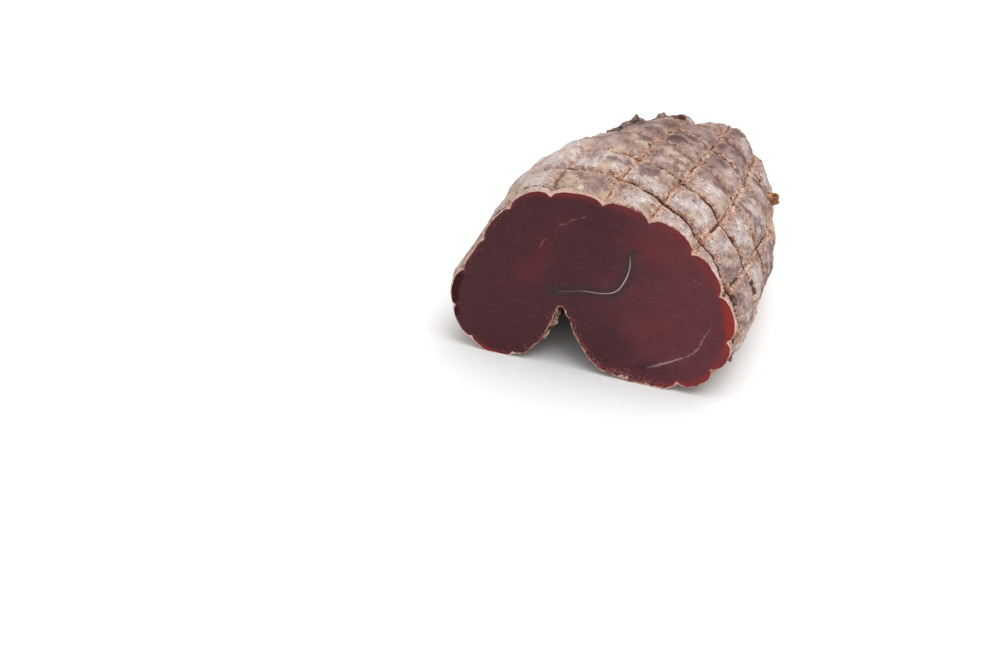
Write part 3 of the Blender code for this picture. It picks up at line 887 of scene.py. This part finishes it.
RED_SPOTS = (
    (-28, 41, 11, 9, 0.6), (-22, 52, 8, 13, 0.5), (-15, 64, 9, 9, 0.3), (24, 62, 20, 11, 0.55),
    (28, 28, 18, 15, 0.35),
)
PLUM_SPOTS = ((11, 14, 17, 13, 0.55), (27, 8, 18, 8, 0.5))
# Strength of the painted red glow of light shining through the thin meat, by places round the
# outline
EDGE_GLOW = (
    (0, 0.1), (28, 0.25), (38, 0.3), (42, 0.75), (53, 0.65), (57, 0.2), (85, 0.1), (94, 0.2),
    (108, 0.15), (120, 0.15), (135, 0.25), (148, 0.42), (170, 0.36), (192, 0.28), (212, 0.3),
    (230, 0.4), (238, 0.9), (246, 1), (256, 0.9), (264, 0.5), (272, 0.45), (278, 0.65), (290, 0.6),
    (303, 0.25), (316, 0.2), (328, 0.25), (345, 0.3),
)
EDGE_WIDTHS = (
    (0, 2), (38, 2), (44, 4.2), (52, 4.2), (57, 2), (94, 3), (135, 3), (150, 4), (170, 4),
    (192, 5.5), (215, 6), (234, 5.5), (250, 7.5), (270, 5.5), (283, 3.8), (303, 3), (340, 2),
)
EDGE_CRUMBLING = (
    (0, 0.5), (28, 0.6), (42, 0.4), (66, 0.3), (84, 0.2), (92, 0.65), (110, 0.65), (135, 0.35),
    (150, 0.1), (240, 0.05), (275, 0.1), (286, 0.4), (300, 1), (328, 1.2), (345, 0.8),
)
# Painted shade where the meat's edge curls over: where it starts, is full, begins to stop and stops
# round the outline, and its width
FLAP_SHADES = ((71, 72.5, 86, 89.5, 3.4), (65.5, 66.8, 69.5, 70.6, 2.4))
EDGE_AT_CORD = 0.3
GLOW_CORE = 0.3
CRUMBLES_WITHIN = (0.3, 4.5)
FLAP_CORE = 0.75
WAVE_HEIGHT = 0.12
WAVES = (14.0, 4.4, 3)
WAVES_INSIDE = 6.0
SKIN_HEIGHT = 0.1
SKIN_HALF_WIDTH = 0.5

# Directions across and up the leaning cut
cut_plane = np.array([[1.0, 0.0, 0.0], [0.0, math.sin(CUT_LEAN), math.cos(CUT_LEAN)]])


def open_curve(points, spacing=0.6):
    """Give close points on a smooth open curve through the named ones."""
    points = np.array(points)
    ends = np.vstack([2.0 * points[:1] - points[1:2], points, 2.0 * points[-1:] - points[-2:-1]])
    curve = []
    for before, first, second, after in zip(ends[:-3], ends[1:-2], ends[2:-1], ends[3:]):
        count = max(2, int(np.hypot(*(second - first)) / spacing))
        for share in np.arange(count) / count:
            curve.append(smooth_curve(before, first, second, after, share))
    curve.append(points[-1])
    return np.array(curve)


def inside_outline(places, edge):
    """Tell which places lie inside a closed line."""
    x, y = places[:, :1], places[:, 1:]
    (x0, y0), (x1, y1) = edge.T, np.roll(edge, -1, axis=0).T
    crosses = (y0 > y) != (y1 > y)
    at = x0 + (y - y0) * (x1 - x0) / np.where(y1 == y0, 1.0, y1 - y0)
    return np.sum(crosses & (x < at), axis=1) % 2 == 1


def gaps_to(places, line):
    """Give the distance of each place to every point of a line."""
    return np.array([np.hypot(places[:, 0] - x, places[:, 1] - y) for x, y in line])


def gap_to(places, line):
    """Give the distance of each place to the nearest point of a line."""
    return gaps_to(places, line).min(axis=0)


def strength_by(places, line, stations):
    """Give each place the strength that a line has at its nearest point."""
    share = gaps_to(places, line).argmin(axis=0) / (len(line) - 1)
    return np.interp(share, *zip(*stations))


slab_edge = (rim_inside - SLAB_GAP * out[0]) @ cut_plane.T
lines = [open_curve(SILVERSKIN_MIDDLE), open_curve(SILVERSKIN_RIGHT)]
lines += [open_curve(scratch) for scratch in SCRATCHES]
low = slab_edge.min(axis=0)
high = slab_edge.max(axis=0)
columns = np.arange(low[0], high[0], SLAB_GRID)
levels = np.arange(low[1], high[1], SLAB_GRID)
inner = np.stack(np.meshgrid(columns, levels), axis=-1).reshape(-1, 2)
shift = np.random.default_rng(SLAB_SEED).uniform(-SLAB_SHIFT, SLAB_SHIFT, inner.shape)
inner = inner + shift * SLAB_GRID
inner = inner[inside_outline(inner, slab_edge)]
for line in [slab_edge] + lines:
    inner = inner[gap_to(inner, line) > SLAB_CLEARANCE * SLAB_GRID]
loose = np.vstack([slab_edge] + lines + [inner])
edge_count = len(slab_edge)
edges = [(number, (number + 1) % edge_count) for number in range(edge_count)]
first = edge_count
for line in lines:
    edges += [(number, number + 1) for number in range(first, first + len(line) - 1)]
    first += len(line)
border = [list(range(edge_count))]
loose = [Vector(place) for place in loose]
filled = geometry.delaunay_2d_cdt(loose, edges, border, KEEP_INSIDE, SAME_PLACE)
flat = np.array([place[:] for place in filled[0]])
faces = [tuple(face) for face in filled[2]]
edge_gaps = gaps_to(flat, slab_edge)
on_edge = edge_gaps.min(axis=0)
edge_number = edge_gaps.argmin(axis=0)
edge_around = column_around[edge_number]
edge_crown = crown[0][edge_number]
skin_gaps = [gap_to(flat, line) for line in lines[:2]]
scratch_gap = np.min([gap_to(flat, line) for line in lines[2:]], axis=0)
edge_width = round_cut(EDGE_WIDTHS, edge_around)
edge_width = edge_width * (EDGE_AT_CORD + (1.0 - EDGE_AT_CORD) * edge_crown)
redness = round_cut(EDGE_GLOW, edge_around)
redness = redness * (1.0 - smoothstep(GLOW_CORE, 1.0, on_edge / edge_width))
crumbling = round_cut(EDGE_CRUMBLING, edge_around)
crumbling = crumbling * (1.0 - smoothstep(*CRUMBLES_WITHIN, on_edge))
dark_flap = np.zeros(len(flat))
for starts, started, stopping, stopped, flap_width in FLAP_SHADES:
    flap = smoothstep(starts, started, edge_around)
    flap = flap * (1.0 - smoothstep(stopping, stopped, edge_around))
    flap = flap * (1.0 - smoothstep(FLAP_CORE, 1.0, on_edge / flap_width))
    dark_flap = np.maximum(dark_flap, flap)

flat_3d = flat @ cut_plane
plane_offset = float(np.mean(rim_inside @ -into_meat))
flat_3d = flat_3d + plane_offset * -into_meat
swell = WAVE_HEIGHT * wander(flat_3d, *WAVES) * smoothstep(0.0, WAVES_INSIDE, on_edge)
ridge = SKIN_HEIGHT * near(np.minimum(*skin_gaps), SKIN_HALF_WIDTH)
front = flat_3d - (swell + ridge - SLAB_SUNK)[:, None] * into_meat
back = flat_3d + SLAB_THICKNESS * into_meat
point_count = len(flat)
loop = edge_gaps.argmin(axis=1).tolist()
slab_faces = faces + [tuple(point_count + corner for corner in reversed(face)) for face in faces]
for number, corner in enumerate(loop):
    next_corner = loop[(number + 1) % edge_count]
    slab_faces.append((next_corner, corner, point_count + corner, point_count + next_corner))
slab_mesh = bpy.data.meshes.new("cut_meat")
slab_mesh.from_pydata(in_frame(np.vstack([front, back])).tolist(), [], slab_faces)
cut_meat = bpy.data.objects.new("cut_meat", slab_mesh)
bpy.context.scene.collection.objects.link(cut_meat)
cut_values = dict(
    skin_middle=skin_gaps[0], skin_right=skin_gaps[1], scratch=scratch_gap,
    middle_strength=strength_by(flat, lines[0], MIDDLE_STRENGTH),
    right_strength=strength_by(flat, lines[1], RIGHT_STRENGTH),
    redness=redness, crumbling=crumbling, dark_flap=dark_flap, across=flat[:, 0],
    redder_inside=spotted(0.0, *flat.T, RED_SPOTS, join=np.add),
    plum_inside=spotted(0.0, *flat.T, PLUM_SPOTS),
)
for name, values in cut_values.items():
    keep_on_mesh(cut_meat, name, np.tile(values, 2))


def pick(pieces):
    """Select these pieces alone, the first one as the active one."""
    bpy.ops.object.select_all(action="DESELECT")
    for piece in pieces:
        piece.select_set(True)
    bpy.context.view_layer.objects.active = pieces[0]


pick([cut_meat])
bpy.ops.object.mode_set(mode="EDIT")
face_outwards(CUT_SMOOTH_UNDER)

PLUM = tint(79, 43, 49)
PLUM_RED = tint(106, 55, 60)
DEEP_RED = tint(121, 48, 51)
RED_EDGE = tint(151, 50, 46)
DARK_MEAT = tint(58, 36, 40)
SILVERSKIN = tint(207, 180, 176)
GREY_GREEN = tint(59, 52, 51)
FLAP_SHADE_RED = tint(60, 14, 18)
FLAP_SHADE_EDGE = tint(34, 16, 14)
CRUMB = tint(158, 108, 100)
PALE_FIBRE = tint(118, 64, 69)
SHEEN_TO_RIGHT = (-14.0, 32.0)
MEAT_ROUGHNESS = 0.45
MEAT_GLOSS = 0.1
FIBRE_STRETCH = (1.0, 1.0, 3.5)
FIBRE_DEPTH = 0.0003
FIBRE_STRENGTH = 0.4

meat_shader, places = new_finish(cut_meat, "cut_meat", MEAT_ROUGHNESS)
kept = places.kept
meat_shader.inputs["Specular IOR Level"].default_value = MEAT_GLOSS
across = kept("across")
broad = places.noise(0.024, detail=2.0)
middling = places.noise(0.007, detail=4.0)
speckle = places.noise(0.0013, roughness=0.7)
fibres = places.stretched(FIBRE_STRETCH).noise(0.004, detail=4.0, distortion=1.5)
# Painted sheen that lightens the meat towards the right, with its own random redder and darker plum
# patches
right_sheen = across.rise(*SHEEN_TO_RIGHT)
redder_and_sheen = right_sheen * 0.75 + broad * 1.1 - kept("plum_inside")
meat_colour = redder_and_sheen.rise(0.05, 0.95).ramp((0.0, PLUM), (1.0, PLUM_RED))
paint = meat_colour.paint
paint(fibres.rise(-0.05, 0.2) * 0.4, DARK_MEAT)
paint(fibres.fall(-0.2, -0.05) * 0.25, PALE_FIBRE)
inner_red = kept("redder_inside") * (middling * 2.0 + 0.8)
paint((inner_red * 0.75).clipped(), DEEP_RED)
# Painted red glow of light shining through the thin edge of the meat
edge_glow_share = (kept("redness") * (middling * 0.9 + 1.0)).clipped()
paint(edge_glow_share, RED_EDGE)
shadow_gap = kept("skin_middle") + middling * 4.0 + speckle * 2.0
paint(shadow_gap.fall(0.3, 4.8) * 0.7, GREY_GREEN)
# Painted shade, dark red, where the meat's edge curls over, darker still along its inner border
dark_flap = kept("dark_flap") + speckle * 0.6
flap_shade_edge = dark_flap.rise(0.1, 0.4) * dark_flap.fall(0.6, 1.0)
paint(dark_flap.rise(0.3, 0.7) * 0.95, FLAP_SHADE_RED)
paint(flap_shade_edge * 0.55, FLAP_SHADE_EDGE)
middle_line = (kept("skin_middle") + speckle * 0.3).fall(0.08, 0.33)
middle_line = middle_line * kept("middle_strength")
paint(middle_line, SILVERSKIN)
right_gap = kept("skin_right") - across.fall(28.0, 40.0) * 0.2
right_line = (right_gap + speckle * 1.8).fall(0.02, 0.36)
right_line = right_line + (kept("skin_right") + speckle * 10.0).fall(0.0, 1.0) * 0.15
right_line = right_line.clipped() * kept("right_strength") * (speckle * 2.2 + 0.8).clipped()
paint(right_line.clipped() * 0.75, SILVERSKIN)
scratch_line = (kept("scratch") + speckle * 3.0).fall(0.02, 0.4)
paint(scratch_line * 0.12, SILVERSKIN)
crumbling = kept("crumbling")
crumb_red = (middling + speckle * 0.6 + crumbling * 0.25).rise(0.15, 0.3)
paint(crumb_red * crumbling.rise(0.4, 1.0) * 0.35, RED_EDGE)
crumbs = places.noise(0.0009, roughness=0.7)
crumbed = (crumbs + crumbling * 0.12).rise(0.12, 0.2)
paint(crumbed * (0.14 + crumbling * 0.6), CRUMB)
darker = (crumbs - crumbling * 0.06).fall(-0.2, -0.08)
paint(darker * (0.25 + crumbling * 0.5), DARK_MEAT)
surface(meat_shader, meat_colour, fibres * 0.6 + speckle * 0.4, FIBRE_DEPTH, FIBRE_STRENGTH)
wet = 0.5 + middling * 0.2
wet.tree.links.new(wet.socket, meat_shader.inputs["Roughness"])
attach(cut_meat, "root")
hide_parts("cecina")


# Crags: scraps, flaps and tags of dried crust that stand out of the tied end and the sides,
# darker than the crust that they grow out of. Each is a ball pulled ragged and sunk in.
CRAGS = (
    (135, 93, (7.5, 6, 2.7), "dark_crag"),
    (149, 105, (9, 5, 2.2), "red_crag"),
    (130, 115, (6, 6, 2.4), "dark_crag"),
    (110, 108, (7, 5, 2.4), "dark_crag"),
    (86, 122, (6, 5, 2.4), "dark_crag"),
    (205, 127, (6.5, 4, 2.4), "dark_crag"),
    (290, 124, (6, 4.5, 2.4), "dark_crag"),
    (137, 88, (3.6, 3, 3.4), "dark_crag"),
    (138.5, 93.5, (3.4, 3, 3.6), "dark_crag"),
    (147, 102, (3.2, 2.6, 3), "red_crag"),
    (153, 110, (3.6, 3, 2.8), "dark_crag"),
    (134, 80, (3.4, 2.6, 2), "dark_crag"),
    (240, 90, (3.4, 1.6, 4.6), "tan_tag"),
    (266, 4, (1.8, 1.6, 1.8), "red_crag"),
    (5, 2.6, (2.6, 2.4, 1.3), "cleft_tag"),
    (10.5, 3.4, (3.4, 2.8, 1.7), "cleft_tag"),
    (17, 3.2, (3.2, 2.6, 1.3), "cleft_tag"),
    (2, 6, (2.4, 4, 1.2), "cleft_tag"),
)
CRAG_COLOURS = {
    "dark_crag": ((84, 64, 59), (106, 84, 78), (126, 103, 95), (158, 134, 122)),
    "red_crag": ((88, 50, 48), (116, 76, 72), (136, 104, 96), (164, 138, 128)),
    "tan_tag": ((70, 36, 22), (146, 92, 56), (190, 142, 100), (226, 196, 162)),
    "cleft_tag": ((70, 42, 30), (126, 96, 76), (166, 136, 114), (208, 184, 164)),
}
CRAG_COLOUR_PLACES = (0.1, 0.4, 0.65, 0.95)
CRAG_RAGGEDNESS = 0.6
CRAG_LUMPINESS = 1.4
CRAG_FINE_RAGGEDNESS = 0.16
CRAG_FOLDS = Vector((1.5, 4.5, 1.5))
CRAG_STAND = -0.05
CRAG_SEED = 7.3
CRAG_SPLITS = 5
CRAG_OCTAVES = 3
CRAG_SMOOTH_UNDER = 50.0
CRAG_ROUGHNESS = 0.9
CRAG_GRAIN_DEPTH = 0.0008
CRAG_GRAIN_STRENGTH = 0.5


def crust_at(around, along):
    """Give a point on the pressed crust."""
    height, _ = relief(around, along)
    point = smooth_surface(around, along) + height * outward(around, along)
    return Vector(press_on_table(point, along))


crags = {kind: [] for kind in CRAG_COLOURS}
for number, (around, along, size, kind) in enumerate(CRAGS):
    normal = Vector(outward(around, along))
    back = crust_at(around, along + SLOPE_STEP) - crust_at(around, along - SLOPE_STEP)
    side = back.cross(normal).normalized()
    turn = Matrix((side, normal.cross(side), normal)).transposed().to_4x4()
    centre = crust_at(around, along) + CRAG_STAND * size[2] * normal - Vector(ORIGIN)
    bpy.ops.mesh.primitive_ico_sphere_add(subdivisions=CRAG_SPLITS, radius=1.0, location=(0, 0, 0))
    crag = bpy.context.object
    crag.name = f"{kind}_{number}"
    seed = Vector((CRAG_SEED * number, 0.0, 0.0))
    for vert in crag.data.vertices:
        ragged = 1.0 + CRAG_RAGGEDNESS * noise.noise(vert.co * CRAG_LUMPINESS + seed)
        folded = vert.co * CRAG_FOLDS + seed
        finer = noise.fractal(folded, OCTAVE_FADE, OCTAVE_STEP, CRAG_OCTAVES)
        vert.co = vert.co * (ragged + CRAG_FINE_RAGGEDNESS * finer) * Vector(size)
    crag.data.transform(Matrix.Scale(MM, 4) @ Matrix.Translation(centre) @ turn)
    points = np.array([vert.co for vert in crag.data.vertices])
    crag.data.vertices.foreach_set("co", np.clip(points, *cecina_box).ravel())
    crags[kind].append(crag)

for kind, pieces in crags.items():
    pick(pieces)
    bpy.ops.object.join()
    joined = bpy.context.object
    joined.name = kind
    bpy.ops.object.shade_smooth_by_angle(angle=math.radians(CRAG_SMOOTH_UNDER))
    crag_shader, places = new_finish(joined, kind, CRAG_ROUGHNESS)
    middling = places.noise(0.0045, detail=4.0)
    small = places.noise(0.0014, detail=4.0, roughness=0.65)
    grain = places.noise(0.0007, detail=2.0, roughness=0.6)
    mottling = middling * 2.2 + small * 1.1 + grain * 0.6 + 0.5
    crag_colours = [tint(*colour) for colour in CRAG_COLOURS[kind]]
    crag_colour = mottling.ramp(*zip(CRAG_COLOUR_PLACES, crag_colours))
    surface(crag_shader, crag_colour, small, CRAG_GRAIN_DEPTH, CRAG_GRAIN_STRENGTH)
    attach(joined, "root")
    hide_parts("cecina")
